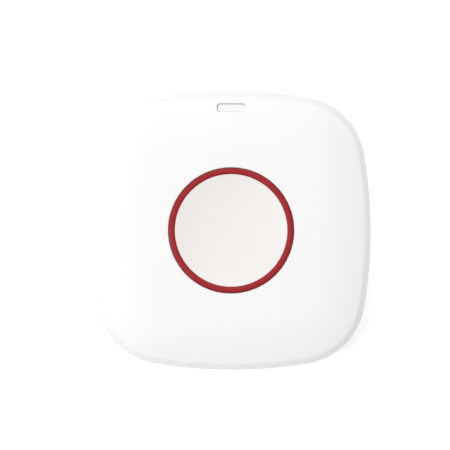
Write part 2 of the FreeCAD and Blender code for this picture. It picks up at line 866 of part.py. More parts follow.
def button_carrier():
    """Sliding carrier: disc, stem over the switch, guide skirt and four hooks that stop it at the top."""
    skirt_inner = skirt_radius - s.skirt_thickness
    body = turned_part("button_carrier", [
        (ZERO, stem_bottom),
        (s.stem_radius, stem_bottom),
        (s.stem_radius, disc_bottom),
        (skirt_inner, disc_bottom),
        (skirt_inner, skirt_bottom),
        (skirt_radius, skirt_bottom),
        (skirt_radius, carrier_top),
        (ZERO, carrier_top),
    ])
    half_hook = s.hook_width / 2
    hook = new_sketch(body, "hook", "XY_Plane", skirt_bottom)
    hook_root = skirt_radius - s.skirt_thickness / 2
    rectangle(hook, hook_root, -half_hook, skirt_radius + s.hook_reach, half_hook)
    around(body, pad(body, hook, s.hook_height), 4)
    slits = new_sketch(body, "slits", "XY_Plane", skirt_bottom)
    slit_width = s.skirt_thickness
    past_skirt = skirt_radius + s.hook_reach * 2
    before_skirt = skirt_inner - s.skirt_thickness
    rectangle(slits, before_skirt, half_hook, past_skirt, half_hook + slit_width)
    rectangle(slits, before_skirt, -half_hook - slit_width, past_skirt, -half_hook)
    around(body, pocket(body, slits, s.skirt_length), 4, adds=False)
    stake_hole = new_sketch(body, "stake_hole", "XY_Plane", disc_bottom)
    circle(stake_hole, s.stake_radius + s.cap_gap, stake_circle)
    around(body, pocket(body, stake_hole, s.carrier_disc_thickness), 3, adds=False)


def return_spring():
    """Coil between the frame and the underside of the carrier, its round wire in short straight runs."""
    wire_radius = float(s.spring_wire) / 2
    low = float(frame_top + s.spring_end_gap) + wire_radius
    rise = float(disc_bottom - frame_top - s.spring_wire - s.spring_end_gap * 2)
    runs = round(float(s.spring_turns) * COIL_STEPS)
    points = []
    for step in range(runs + 1):
        angle = 2 * math.pi * step / COIL_STEPS
        radius = float(s.spring_radius)
        points.append(Vector(radius * math.cos(angle), radius * math.sin(angle), low + rise * step / runs))
    section = Part.Wire(Part.makeCircle(wire_radius, points[0], points[1] - points[0]))
    mitred = 1
    coil = Part.makePolygon(points).makePipeShell([section], True, False, mitred)
    # a swept polygon in space has no sketch to stand on, so the coil is a plain feature
    item = doc.addObject("Part::Feature", "return_spring")
    item.Shape = coil
    sub_parts.append(item)


def spring_frame():
    """Plastic frame on the board: spring seat round the switch and four arms out to the screws."""
    body = new_body("spring_frame")
    ring = new_sketch(body, "ring", "XY_Plane", board_top)
    circle(ring, s.frame_window_radius)
    circle(ring, s.frame_ring_radius)
    pad(body, ring, s.frame_thickness)
    half_arm = s.frame_arm_width / 2
    arm = new_sketch(body, "arm", "XY_Plane", board_top, turn=SIZES["post_angle"])
    arm_start = (s.frame_window_radius + s.frame_ring_radius) / 2
    rectangle(arm, arm_start, -half_arm, post_circle, half_arm)
    around(body, pad(body, arm, s.frame_thickness), 4)
    foot = new_sketch(body, "foot", "XY_Plane", board_top, turn=SIZES["post_angle"])
    circle(foot, s.post_radius, post_circle)
    around(body, pad(body, foot, s.frame_thickness), 4)
    rim = new_sketch(body, "rim", "XY_Plane", frame_top)
    rim_inner = s.spring_radius + s.spring_wire
    circle(rim, rim_inner)
    circle(rim, rim_inner + s.frame_thickness / 2)
    pad(body, rim, s.spring_wire)
    hole = new_sketch(body, "hole", "XY_Plane", board_top, turn=SIZES["post_angle"])
    circle(hole, s.board_shank_radius + s.hole_clearance, post_circle)
    around(body, pocket(body, hole, s.frame_thickness), 4, adds=False)


def circuit_board():
    """Board cut off and notched at the cover's bosses, with a tab at the top that carries the light."""
    body = new_body("circuit_board")
    wide = board_half_width
    narrow = case_screw_offset * 2 - wide
    tab = s.board_tab_half_width
    tip = wide + s.board_tab_length
    shape = new_sketch(body, "shape", "XY_Plane", board_bottom)
    right = [(narrow, -wide), (wide, -narrow), (wide, narrow), (narrow, wide), (tab, wide), (tab, tip)]
    left = [(-x, y) for x, y in reversed(right)]
    outline(shape, right + left)
    pad(body, shape, s.board_thickness)
    notch = new_sketch(body, "notch", "XY_Plane", board_bottom)
    circle(notch, s.case_boss_radius + s.board_notch_gap, case_screw_offset, case_screw_offset)
    around(body, pocket(body, notch, s.board_thickness), 4, adds=False)
    hole = new_sketch(body, "hole", "XY_Plane", board_bottom, turn=SIZES["post_angle"])
    circle(hole, s.board_shank_radius + s.hole_clearance, post_circle)
    around(body, pocket(body, hole, s.board_thickness), 4, adds=False)


def switch_body():
    """Moulded base of the push switch, hollowed for its plunger."""
    body = new_body("switch_body")
    half = s.switch_width / 2
    base = new_sketch(body, "base", "XY_Plane", board_top)
    rectangle(base, -half, -half, half, half)
    block = pad(body, base, s.switch_body_height)
    round_edges(body, block, s.switch_plate_thickness, lambda edge: edge.Length > 2 and is_upright(edge))
    well = new_sketch(body, "well", "XY_Plane", plunger_rest - s.press_travel - s.hole_clearance)
    circle(well, s.plunger_flange_radius + s.plunger_clearance)
    pocket(body, well, switch_plate_bottom - plunger_rest + s.press_travel + s.hole_clearance)


def switch_plate():
    """Steel plate that closes the switch, with two bent tabs down its sides."""
    body = new_body("switch_plate")
    half = s.switch_width / 2
    top = new_sketch(body, "top", "XY_Plane", switch_plate_bottom)
    rectangle(top, -half, -half, half, half)
    pad(body, top, s.switch_plate_thickness)
    tab = new_sketch(body, "tab", "XY_Plane", switch_plate_bottom - half / 2)
    rectangle(tab, half, -(half / 2), half + s.contact_thickness, half / 2)
    tab_length = half / 2 + s.switch_plate_thickness
    mirror_across(body, [pad(body, tab, tab_length)], "YZ_Plane")
    hole = new_sketch(body, "hole", "XY_Plane", switch_plate_bottom)
    circle(hole, s.plunger_radius + s.plunger_clearance)
    pocket(body, hole, s.switch_plate_thickness)


def switch_plunger():
    """Plunger of the push switch, with a flange that the plate holds in."""
    flange_level = plunger_rest + s.plunger_flange_height
    turned_part("switch_plunger", [
        (ZERO, plunger_rest),
        (s.plunger_flange_radius, plunger_rest),
        (s.plunger_flange_radius, flange_level),
        (s.plunger_radius, flange_level),
        (s.plunger_radius, plunger_top),
        (ZERO, plunger_top),
    ])


def coin_cell():
    """Lithium coin cell, its wide can towards the door and its cap towards the board."""
    edge = s.cell_cap_step
    shoulder = cell_top - s.cell_cap_step
    turned_part("coin_cell", [
        (ZERO, cell_bottom),
        (s.cell_radius - edge, cell_bottom),
        (s.cell_radius, cell_bottom + edge),
        (s.cell_radius, shoulder - edge),
        (s.cell_radius - edge, shoulder),
        (s.cell_cap_radius, shoulder),
        (s.cell_cap_radius, cell_top),
        (ZERO, cell_top),
    ])


def battery_holder():
    """Plastic ring under the board round the cell, with a window for the side spring."""
    outer = well_radius + s.holder_wall
    bottom = board_bottom - s.holder_height
    body = turned_part("battery_holder", [
        (well_radius, bottom),
        (outer, bottom),
        (outer, board_bottom),
        (well_radius, board_bottom),
    ])
    half_window = s.contact_width / 2 + s.hole_clearance
    window = new_sketch(body, "window", "XY_Plane", bottom)
    rectangle(window, -half_window, -outer - s.holder_wall, half_window, s.holder_wall - well_radius)
    pocket(body, window, s.holder_height - s.contact_space)


def positive_contact():
    """Side spring: a strip soldered to the board that hooks in against the cell's rim."""
    body = new_body("positive_contact")
    thick = s.contact_thickness
    stand = -well_radius - s.holder_wall - thick / 2
    tip = -s.cell_radius - s.seal_clearance
    knee = board_bottom - s.holder_height + s.contact_space
    strip = new_sketch(body, "strip", "YZ_Plane")
    outline(strip, [
        (stand - s.contact_foot, board_bottom),
        (stand - s.contact_foot, board_bottom - thick),
        (stand - thick, board_bottom - thick),
        (stand - thick, knee),
        (tip, knee + s.contact_space),
        (tip, knee + s.contact_space + thick),
        (stand, knee + s.contact_lip),
        (stand, board_bottom),
    ])
    pad_both_ways(body, strip, s.contact_width)


def negative_contact():
    """Leaf spring under the board that presses on the cell's cap."""
    body = new_body("negative_contact")
    thick = s.contact_thickness
    under = board_bottom - thick
    touch = cell_top + s.seal_clearance
    reach = s.cell_cap_radius / 2
    leaf = new_sketch(body, "leaf", "XZ_Plane")
    outline(leaf, [
        (-reach, board_bottom),
        (-reach, under),
        (-reach / 2, under),
        (reach / 2, touch),
        (reach, touch + s.contact_lip),
        (reach, touch + s.contact_lip + thick),
        (reach / 2, touch + thick),
        (-reach / 2, board_bottom),
    ])
    pad_both_ways(body, leaf, s.contact_width)


def light_pipe():
    """Milky light guide: a slot-shaped window, ears under the cover and a stem down to the light."""
    body = new_body("light_pipe")
    half_length = s.window_length / 2 - s.window_clearance
    half_depth = s.window_width / 2 - s.window_clearance
    low, high = window_offset - half_depth, window_offset + half_depth
    low_level = face_level_at(half_width - low) - s.window_recess
    high_level = face_level_at(half_width - high) - s.window_recess
    side = new_sketch(body, "side", "YZ_Plane")
    outline(side, [(low, light_gap_top), (high, light_gap_top), (high, high_level), (low, low_level)])
    stem = pad_both_ways(body, side, half_length * 2)
    corner = s.window_corner - s.window_clearance
    round_edges(body, stem, corner, is_upright)
    ears = new_sketch(body, "ears", "XY_Plane", window_ceiling - s.roof_thickness / 2)
    ear = s.window_width / 2
    rectangle(ears, -half_length - ear, low - ear, half_length + ear, high)
    pad(body, ears, s.roof_thickness / 2 - s.stop_gap)


def antenna():
    """Wire aerial: a low hoop of round wire that stands on the board."""
    body = new_body("antenna")
    wire_radius = s.antenna_wire / 2
    profile = new_sketch(body, "profile", "XY_Plane", board_top)
    circle(profile, wire_radius, -s.antenna_half_length, antenna_offset)
    path = new_sketch(body, "path", "XZ_Plane", -antenna_offset)
    end = s.antenna_half_length
    top = board_top + s.antenna_height
    run(path, [(-end, board_top), (-end, top), (end, top), (end, board_top)])
    sweep(body, profile, path)


def block(name, size_x, size_y, size_z, x, y, z):
    """A box centred on (x, y) that stands at level z."""
    item = doc.addObject("Part::Box", name)
    for prop, size in (("Length", size_x), ("Width", size_y), ("Height", size_z)):
        setattr(item, prop, float(size))
        item.setExpression(prop, size.formula)
    corner = (x - size_x / 2, y - size_y / 2, z)
    item.Placement.Base = Vector(*(float(part) for part in corner))
    for axis, size in zip("xyz", corner):
        item.setExpression(f"Placement.Base.{axis}", size.formula)
    return item


def soft_block(name, edge, *sizes):
    """A box with its upright and top edges bevelled."""
    core = block(f"{name}_block", *sizes)
    doc.recompute()
    foot = core.Shape.BoundBox.ZMin
    item = doc.addObject("Part::Chamfer", name)
    item.Base = core
    item.Edges = [
        (number, float(edge), float(edge))
        for number, side in enumerate(core.Shape.Edges, 1)
        if side.BoundBox.ZMax > foot + float(edge)
    ]
    item.Label = name
    sub_parts.append(item)


def board_components():
    """Radio under its steel can, controller, crystal, capacitors and the light."""
    soft_block("radio_shield", s.shield_edge, s.shield_length, s.shield_width, s.shield_height,
               ZERO, -shield_offset, board_top)
    soft_block("crystal", s.crystal_edge, s.crystal_width, s.crystal_length, s.crystal_height,
               -crystal_offset, ZERO, board_top)
    chip = block("control_chip", s.chip_width, s.chip_width, s.chip_height, chip_offset, ZERO, board_top)
    light = block("status_led", s.led_length, s.led_width, s.led_height, ZERO, led_offset, board_top)
    sub_parts.extend([chip, light])
    pair = []
    for number, side in enumerate((1, -1)):
        for row in range(2):
            y = s.capacitor_offset + s.capacitor_pitch * row
            pair.append(block(f"capacitor_{number}_{row}", s.capacitor_length, s.capacitor_width,
                              s.capacitor_height, chip_offset, y * side, board_top))
    group = doc.addObject("Part::Compound", "capacitors")
    group.Links = pair
    sub_parts.append(group)


def screw_group(name, head_radius, head_level, neck_level, tip_level, shank_radius, x, y):
    """Four like screws: one turned body and its mirror copies across both upright planes."""
    screw = turned_part(f"{name}_one", [
        (ZERO, tip_level),
        (shank_radius, tip_level),
        (shank_radius, neck_level),
        (head_radius, neck_level),
        (head_radius, head_level),
        (ZERO, head_level),
    ])
    sub_parts.remove(screw)
    screw.Placement.Base = Vector(float(x), float(y), 0)
    screw.setExpression("Placement.Base.x", x.formula)
    screw.setExpression("Placement.Base.y", y.formula)
    doc.recompute()

    def copy(source, normal):
        item = doc.addObject("Part::Mirroring", f"{source.Name}_copy")
        item.Source = source
        item.Normal = normal
        return item

    across = copy(screw, Vector(1, 0, 0))
    group = doc.addObject("Part::Compound", name)
    group.Links = [screw, across, copy(screw, Vector(0, 1, 0)), copy(across, Vector(0, 1, 0))]
    sub_parts.append(group)


front_cover()
rear_cover()
battery_door()
door_seal()
button_cap()
button_ring()
button_carrier()
return_spring()
spring_frame()
circuit_board()
switch_body()
switch_plate()
switch_plunger()
coin_cell()
battery_holder()
positive_contact()
negative_contact()
light_pipe()
antenna()
board_components()
screw_group("case_screws", s.case_head_radius, case_screw_seat - s.case_head_height, case_screw_seat,
            case_screw_seat + s.case_shank_length, s.case_shank_radius,
            case_screw_offset, case_screw_offset)
screw_group("board_screws", s.board_head_radius, frame_top + s.board_head_height, frame_top,
            board_screw_tip, s.board_shank_radius,
            post_circle * cosine(s.post_angle), post_circle * sine(s.post_angle))
doc.recompute()

for item in doc.Objects:
    if "Invalid" in item.State or "Error" in item.State:
        raise RuntimeError(f"{item.Name} could not be built: {item.State}")
os.makedirs("parts", exist_ok=True)
for part in sub_parts:
    if part.Shape.isNull() or not part.Shape.isValid():
        raise RuntimeError(f"{part.Label} has no valid shape")
for part in sub_parts:
    part.Shape.exportStep(f"parts/{part.Label}.step")
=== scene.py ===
import math

import bmesh
import bpy
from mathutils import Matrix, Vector


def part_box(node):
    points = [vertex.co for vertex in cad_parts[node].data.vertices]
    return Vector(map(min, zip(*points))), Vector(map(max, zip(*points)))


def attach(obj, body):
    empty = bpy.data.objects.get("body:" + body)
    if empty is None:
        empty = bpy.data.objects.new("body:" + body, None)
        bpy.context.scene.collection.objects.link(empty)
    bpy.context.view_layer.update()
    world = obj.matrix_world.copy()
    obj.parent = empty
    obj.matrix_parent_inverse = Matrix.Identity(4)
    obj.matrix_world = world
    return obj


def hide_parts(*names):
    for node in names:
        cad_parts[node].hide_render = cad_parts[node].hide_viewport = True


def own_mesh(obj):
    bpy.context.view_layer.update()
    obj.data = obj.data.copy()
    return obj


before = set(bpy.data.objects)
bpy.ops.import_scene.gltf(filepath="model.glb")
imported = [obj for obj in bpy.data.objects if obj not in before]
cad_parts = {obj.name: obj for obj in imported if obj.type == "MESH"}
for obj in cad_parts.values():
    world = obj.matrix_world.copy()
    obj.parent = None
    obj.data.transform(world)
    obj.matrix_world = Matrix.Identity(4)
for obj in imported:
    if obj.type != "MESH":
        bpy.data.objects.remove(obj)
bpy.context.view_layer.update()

# Sizes in metres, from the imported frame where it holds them.
MM = 0.001
COVER_LOW, COVER_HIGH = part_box("front_cover")
RING_LOW, RING_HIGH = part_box("button_ring")
CAP_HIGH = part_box("button_cap")[1]
DOOR_LOW, DOOR_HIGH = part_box("battery_door")
GUIDE_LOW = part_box("light_pipe")[0]
SPRING_LOW, SPRING_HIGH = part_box("return_spring")
CASE_SCREWS_LOW, CASE_SCREWS_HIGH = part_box("case_screws")
BOARD_SCREWS_LOW, BOARD_SCREWS_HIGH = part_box("board_screws")

# Outline seen from the front: four bowed sides joined by four corner arcs.
HALF_WIDTH = COVER_HIGH.x
CORNER_RADIUS = 15.8 * MM
SIDE_RADIUS = 106.2 * MM
BOW_SHARE = (HALF_WIDTH - CORNER_RADIUS) / (SIDE_RADIUS - CORNER_RADIUS)
SIDE_SPREAD = math.pi / 4 + math.asin((BOW_SHARE - 1) / math.sqrt(2))
CORNER_OFFSET = (SIDE_RADIUS - CORNER_RADIUS) * math.sin(SIDE_SPREAD)
SIDE_STEPS = 48
CORNER_STEPS = 28
ROUND_STEPS = 4 * (SIDE_STEPS + CORNER_STEPS)
WEDGE_STEPS = 12

# Front cover section.
FACE = COVER_HIGH.z
PARTING = COVER_LOW.z
SIDE_DRAFT = 0.5 * MM
BAND = 1.3 * MM
SHOULDER_WIDTH = 11.2 * MM
SHOULDER_DROP = 1.7 * MM
SHOULDER_STEPS = 26
WALL = 2.1 * MM
ROOF = 1.9 * MM
CREASE_ROUND = 0.25 * MM
BAND_ROUND = 0.4 * MM
INNER_ROUND = 0.5 * MM
FLAT_INSET = BAND + SHOULDER_WIDTH
CREASE = FACE - SHOULDER_DROP
CEILING = FACE - ROOF
# strip of flat beside a rounded edge, and how far cutters and roots reach past a face
SUPPORT = 0.5 * MM
RIB_WIDTH = 1.0 * MM
RIB_DEPTH = 2.2 * MM
RIBS = 8

# Button and its hole.
RING_RADIUS = RING_HIGH.x
RING_WIDTH = 1.3 * MM
RING_FOOT = 0.7 * MM
RING_FOOT_RADIUS = RING_RADIUS - 2.05 * MM
RING_CROWN = 0.15 * MM
CROWN_ROUND = 0.5 * MM
RING_GAP = 0.14 * MM
HOLE_RADIUS = RING_RADIUS + RING_GAP
HOLE_ROUND = 0.22 * MM
GUIDE_RADIUS = 13.35 * MM
COLLAR_RADIUS = RING_RADIUS + 2.15 * MM
COLLAR_BOTTOM = 11.75 * MM
COLLAR_STEP = CEILING - 0.62 * MM
CAP_RADIUS = CAP_HIGH.x
CAP_EDGE = CAP_HIGH.z
CAP_SEAT = RING_LOW.z
DISH_DEPTH = 1.3 * MM
DISH_STEPS = 22
CAP_GAP = 0.04 * MM
STAKE_RADIUS = 0.8 * MM
STAKE_CIRCLE = 10.4 * MM
STAKE_BOTTOM = 13.3 * MM
STAKES = 3

# Rear cover section.
FLOOR = 2.0 * MM
REAR_INSET = 0.75 * MM
REAR_DRAFT = 0.25 * MM
REAR_EDGE = 1.1 * MM
REAR_TOP = 3.7 * MM
TONGUE_INSET = 2.75 * MM
TONGUE_WALL = 1.2 * MM
TONGUE_TOP = 6.1 * MM

# Door and its seat.
DOOR_RADIUS = DOOR_HIGH.x
DOOR_FACE = DOOR_LOW.z
DOOR_EDGE = 0.4 * MM
FLANGE_TOP = 1.4 * MM
CUP_FLOOR = 1.7 * MM
SPIGOT_RADIUS = 13.55 * MM
WELL_RADIUS = 12.55 * MM
LUG_RADIUS = 14.8 * MM
NOTCH_GAP = 0.2 * MM
LUG_BOTTOM = 3.2 * MM
LUG_HEIGHT = 0.8 * MM
LUG_ANGLE = math.radians(26)
LUGS = 3
RECESS_RADIUS = DOOR_RADIUS + 0.25 * MM
RECESS_DEPTH = 1.5 * MM
RECESS_ROUND = 0.2 * MM
LEDGE_TOP = 3.1 * MM
SEAT_RADIUS = 18.2 * MM
OPENING_RADIUS = SPIGOT_RADIUS + 0.2 * MM
NOTCH_ANGLE = LUG_ANGLE + math.radians(4)
UNLOCK_ANGLE = math.radians(45)
SEAL_RADIUS = 15.9 * MM
GROOVE_HALF = 0.5 * MM
GROOVE_TOP = 2.25 * MM
COIN_SLOT_LENGTH = 15.0 * MM
COIN_SLOT_WIDTH = 2.2 * MM
COIN_SLOT_DEPTH = 0.8 * MM
COIN_SLOT_CORNER = 1.0 * MM

# Fasteners, posts and keyholes.
SCREW_PLACE = 20.5 * MM
BOSS_RADIUS = 3.0 * MM
TOWER_RADIUS = 3.4 * MM
TOWER_TOP = 4.2 * MM
BORE_TOP = 10.75 * MM
POST_TOP = 7.6 * MM
POST_BORE_BOTTOM = 3.9 * MM
CASE_HEAD_RADIUS = 1.9 * MM
CASE_HEAD_HEIGHT = 1.3 * MM
CASE_SHANK_RADIUS = 1.0 * MM
CASE_SEAT = CASE_SCREWS_LOW.z + CASE_HEAD_HEIGHT
BOARD_HEAD_RADIUS = 1.7 * MM
BOARD_HEAD_HEIGHT = 1.0 * MM
BOARD_SHANK_RADIUS = 0.8 * MM
BOARD_SEAT = BOARD_SCREWS_HIGH.z - BOARD_HEAD_HEIGHT
POST_RADIUS = 2.4 * MM
POST_PLACE = BOARD_SCREWS_HIGH.x - BOARD_HEAD_RADIUS
HOLE_CLEARANCE = 0.25 * MM
THREAD_CLEARANCE = 0.03 * MM
KEYHOLE_PLACE = 23.0 * MM
KEYHOLE_LOW = -2.5 * MM
KEYHOLE_HIGH = 4.0 * MM
KEYHOLE_ENTRY = 3.75 * MM
KEYHOLE_SLOT = 2.0 * MM
KEYHOLE_ROOM = 4.4 * MM
KEYHOLE_DEPTH = 3.2 * MM
KEYHOLE_WALL = 1.0 * MM
HEAD_ROUND = 0.35 * MM
CROSS_LENGTH = 2.0 * MM
CROSS_WIDTH = 0.5 * MM
CROSS_DEPTH = 0.7 * MM

# Return spring.
WIRE_RADIUS = 0.3 * MM
SPRING_RADIUS = SPRING_HIGH.x - WIRE_RADIUS
SPRING_TURNS = 2.5

# Light window.
WINDOW_LENGTH = 6.5 * MM
WINDOW_WIDTH = 1.9 * MM
WINDOW_CORNER = 0.7 * MM
WINDOW_PLACE = 28.1 * MM
WINDOW_GAP = 0.02 * MM
# extra room at the upper and left sides, where the light shows it as a thin line
WINDOW_PLAY = 0.12 * MM
EAR_GAP = 0.05 * MM
WINDOW_RECESS = 0.35 * MM
GUIDE_FOOT = GUIDE_LOW.z

# Small roundings of moulded edges.
FINE_EDGE = 0.1 * MM
SOFT_EDGE = 0.15 * MM

# Fineness of round shapes, and tolerances.
ARC_STEP = math.radians(12)
ROD_SIDES = 48
KEYHOLE_SIDES = 64
SCREW_STEPS = 48
WIRE_SIDES = 20
SPRING_STEPS = 120
SLOT_STEPS = 8
RIM_STEPS = 3
SMOOTH_ANGLE = math.radians(32)
SAME = 0.002 * MM
SLIVER = 0.01 * MM
EVERY_CORNER = [(x, y) for x in (1, -1) for y in (1, -1)]


def face_level(inset):
    """Height of the cover's face at a distance in from its outline."""
    share = max(0.0, (FLAT_INSET - inset) / SHOULDER_WIDTH)
    return FACE - SHOULDER_DROP * share * share


WINDOW_CEILING = face_level(HALF_WIDTH - WINDOW_PLACE) - ROOF


# Modelling helpers.

def select(piece):
    """Make a piece the only selected one."""
    bpy.ops.object.select_all(action="DESELECT")
    piece.select_set(True)
    bpy.context.view_layer.objects.active = piece


def edit(piece):
    """Open a piece for editing, with everything in it selected."""
    select(piece)
    bpy.ops.object.mode_set(mode="EDIT")
    bpy.ops.mesh.select_mode(type="VERT")
    bpy.ops.mesh.select_all(action="SELECT")


def close_edit():
    """Leave editing again."""
    bpy.ops.object.mode_set(mode="OBJECT")


def choose(piece, kind, wanted):
    """Select only the faces or edges of the open piece for which wanted(item) holds."""
    bpy.ops.mesh.select_mode(type=kind)
    bpy.ops.mesh.select_all(action="DESELECT")
    mesh = bmesh.from_edit_mesh(piece.data)
    for item in (mesh.faces if kind == "FACE" else mesh.edges):
        if wanted(item):
            item.select_set(True)
    bmesh.update_edit_mesh(piece.data)


def named(name):
    """Name the new primitive and put its place and turn into its mesh."""
    piece = bpy.context.object
    piece.name = name
    piece.data.name = name
    bpy.ops.object.transform_apply(location=True, rotation=True, scale=True)
    return piece


def slab(name, low, high):
    """A block between two corners."""
    low, high = Vector(low), Vector(high)
    bpy.ops.object.select_all(action="DESELECT")
    bpy.ops.mesh.primitive_cube_add(size=1, location=(low + high) / 2, scale=high - low)
    return named(name)


def rod(name, radius, low, high, x=0.0, y=0.0, sides=ROD_SIDES):
    """An upright cylinder between two levels."""
    bpy.ops.object.select_all(action="DESELECT")
    place = (x, y, (low + high) / 2)
    bpy.ops.mesh.primitive_cylinder_add(radius=radius, depth=high - low, location=place, vertices=sides)
    return named(name)


def four_rods(radius, low, high, place):
    """Upright cylinders at the four corners."""
    return [rod("rod", radius, low, high, x * place, y * place) for x, y in EVERY_CORNER]


def rounded(corners):
    """A line through corners (across, up), where a third value rounds the corner to that radius."""
    line = []
    for index, corner in enumerate(corners):
        here = Vector(corner[:2])
        if len(corner) == 2:
            line.append(here)
            continue
        back = (Vector(corners[index - 1][:2]) - here).normalized()
        ahead = (Vector(corners[index + 1][:2]) - here).normalized()
        half = back.angle(ahead) / 2
        middle = here + (back + ahead).normalized() * corner[2] / math.sin(half)
        start = here + back * corner[2] / math.tan(half) - middle
        turn = math.pi - 2 * half
        side = 1 if back.x * ahead.y - back.y * ahead.x < 0 else -1
        steps = max(2, round(turn / ARC_STEP))
        for step in range(steps + 1):
            angle = side * turn * step / steps
            across = start.x * math.cos(angle) - start.y * math.sin(angle)
            up = start.x * math.sin(angle) + start.y * math.cos(angle)
            line.append(middle + Vector((across, up)))
    return line


def pen(name, points):
    """A bare line, drawn by extruding one point from place to place."""
    bpy.ops.object.select_all(action="DESELECT")
    bpy.ops.mesh.primitive_plane_add(size=MM, location=points[0])
    piece = named(name)
    edit(piece)
    bpy.ops.mesh.merge(type="CENTER")
    for here, there in zip(points, points[1:]):
        bpy.ops.mesh.extrude_region_move(TRANSFORM_OT_translate={"value": there - here})
    bpy.ops.mesh.select_all(action="SELECT")
    return piece


def mend(piece):
    """Merge what meets and turn every face outwards."""
    bpy.ops.mesh.select_all(action="SELECT")
    bpy.ops.mesh.remove_doubles(threshold=SAME)
    bpy.ops.mesh.normals_make_consistent(inside=False)
    close_edit()
    return piece


def lathe(name, section, start=0.0, angle=2 * math.pi, steps=ROUND_STEPS):
    """Spin a section of (radius, level) points about the button's axis; a negative spin turns left."""
    points = [Vector((r * math.cos(start), r * math.sin(start), z)) for r, z in section]
    piece = pen(name, points)
    bpy.ops.mesh.spin(steps=steps, angle=-angle, center=(0, 0, 0), axis=(0, 0, 1))
    if angle < 2 * math.pi:
        bpy.ops.mesh.select_all(action="SELECT")
        bpy.ops.mesh.remove_doubles(threshold=SAME)
        bpy.ops.mesh.fill_holes(sides=0)
    return mend(piece)


def cushion(name, section):
    """Carry a section of (inset, level) points round the case's outline in eight spins."""
    bow = HALF_WIDTH - SIDE_RADIUS
    points = []
    for inset, level in section:
        reach = SIDE_RADIUS - inset
        along = Vector((math.cos(SIDE_SPREAD), -math.sin(SIDE_SPREAD), 0)) * reach
        points.append(Vector((bow, 0, level)) + along)
    piece = pen(name, points)
    for quarter in range(4):
        aim = Vector((math.cos(quarter * math.pi / 2), math.sin(quarter * math.pi / 2), 0))
        beside = Vector((-aim.y, aim.x, 0))
        bpy.ops.mesh.spin(steps=SIDE_STEPS, angle=-2 * SIDE_SPREAD, center=aim * bow, axis=(0, 0, 1))
        bpy.ops.mesh.spin(steps=CORNER_STEPS, angle=2 * SIDE_SPREAD - math.pi / 2,
                          center=(aim + beside) * CORNER_OFFSET, axis=(0, 0, 1))
    return mend(piece)


def prism(name, section, low, high):
    """Carry a closed section of (y, level) points along X."""
    piece = pen(name, [Vector((low, y, z)) for y, z in section])
    bpy.ops.mesh.edge_face_add()
    bpy.ops.mesh.extrude_region_move(TRANSFORM_OT_translate={"value": (high - low, 0, 0)})
    return mend(piece)


def turned(piece, angle):
    """Turn a piece about the button's axis."""
    select(piece)
    piece.rotation_euler.z = angle
    bpy.ops.object.transform_apply(rotation=True)
    return piece


def joined(name, *pieces):
    """Put pieces together as one, without uniting their forms."""
    bpy.ops.object.select_all(action="DESELECT")
    for piece in pieces:
        piece.select_set(True)
    bpy.context.view_layer.objects.active = pieces[0]
    bpy.ops.object.join()
    pieces[0].name = name
    pieces[0].data.name = name
    return pieces[0]


def bridge(piece, level):
    """Span the flat between the two open rims at a level."""
    edit(piece)
    choose(piece, "EDGE", lambda edge: edge.is_boundary and abs(edge.verts[0].co.z - level) < SAME)
    bpy.ops.mesh.bridge_edge_loops()
    close_edit()


def combine(piece, others, operation):
    """Unite a piece with others that stand clear of each other, or cut them out of it."""
    other = joined("others", *others)
    select(piece)
    modifier = piece.modifiers.new("combine", "BOOLEAN")
    modifier.object = other
    modifier.operation = operation
    modifier.solver = "EXACT"
    bpy.ops.object.modifier_apply(modifier=modifier.name)
    bpy.data.objects.remove(other)


def unite(piece, *others):
    """Add pieces that overlap this one."""
    combine(piece, others, "UNION")


def carve(piece, *others):
    """Cut pieces out of this one."""
    combine(piece, others, "DIFFERENCE")


def one_face(piece, level):
    """Make one face of a flat disc at a level, so that a cut into it stays clean."""
    edit(piece)
    choose(piece, "FACE", lambda face: all(abs(corner.co.z - level) < SAME for corner in face.verts))
    bpy.ops.mesh.dissolve_faces()
    close_edit()


def at_corners(piece, place):
    """Copies of a piece at the four corners, as one."""
    copies = []
    for x, y in EVERY_CORNER:
        select(piece)
        bpy.ops.object.duplicate()
        copy = bpy.context.object
        copy.location = (x * place, y * place, 0)
        bpy.ops.object.transform_apply(location=True)
        copies.append(copy)
    name = piece.name
    bpy.data.objects.remove(piece)
    return joined(name, *copies)


def round_rims(piece, wanted, width, segments):
    """Round the edges of a piece for which wanted(edge) holds."""
    edit(piece)
    choose(piece, "EDGE", wanted)
    bpy.ops.mesh.bevel(offset=width, segments=segments, affect="EDGES")
    close_edit()


def fit(piece, solid, body, material):
    """Finish a piece and let it stand for its CAD node on that node's body."""
    select(piece)
    bpy.ops.object.shade_smooth_by_angle(angle=SMOOTH_ANGLE)
    piece.data.materials.clear()
    piece.data.materials.append(material)
    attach(piece, body)
    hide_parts(solid)


def slot_block(name, length, width, corner, low, high, y=0.0):
    """An upright block with rounded corners, for slots and the window."""
    piece = slab(name, (-length / 2, y - width / 2, low), (length / 2, y + width / 2, high))
    round_rims(piece, lambda edge: abs(edge.verts[0].co.z - edge.verts[1].co.z) > SAME, corner, SLOT_STEPS)
    return piece


# Material helpers.

def srgb(code):
    """A hex colour as linear red, green, blue and alpha."""
    values = [int(code[place:place + 2], 16) / 255 for place in (1, 3, 5)]
    return [v / 12.92 if v <= 0.04045 else ((v + 0.055) / 1.055) ** 2.4 for v in values] + [1.0]


def node(tree, kind, inputs, **settings):
    """Add a shader node with its settings; an input takes a value or a socket to link from."""
    item = tree.nodes.new(kind)
    for name, value in settings.items():
        setattr(item, name, value)
    for socket, value in inputs.items():
        if isinstance(value, bpy.types.NodeSocket):
            tree.links.new(value, item.inputs[socket])
        else:
            item.inputs[socket].default_value = value
    return item


def per_metre(size):
    """Noise scale whose features are about a size in millimetres."""
    return 1 / (size * MM)


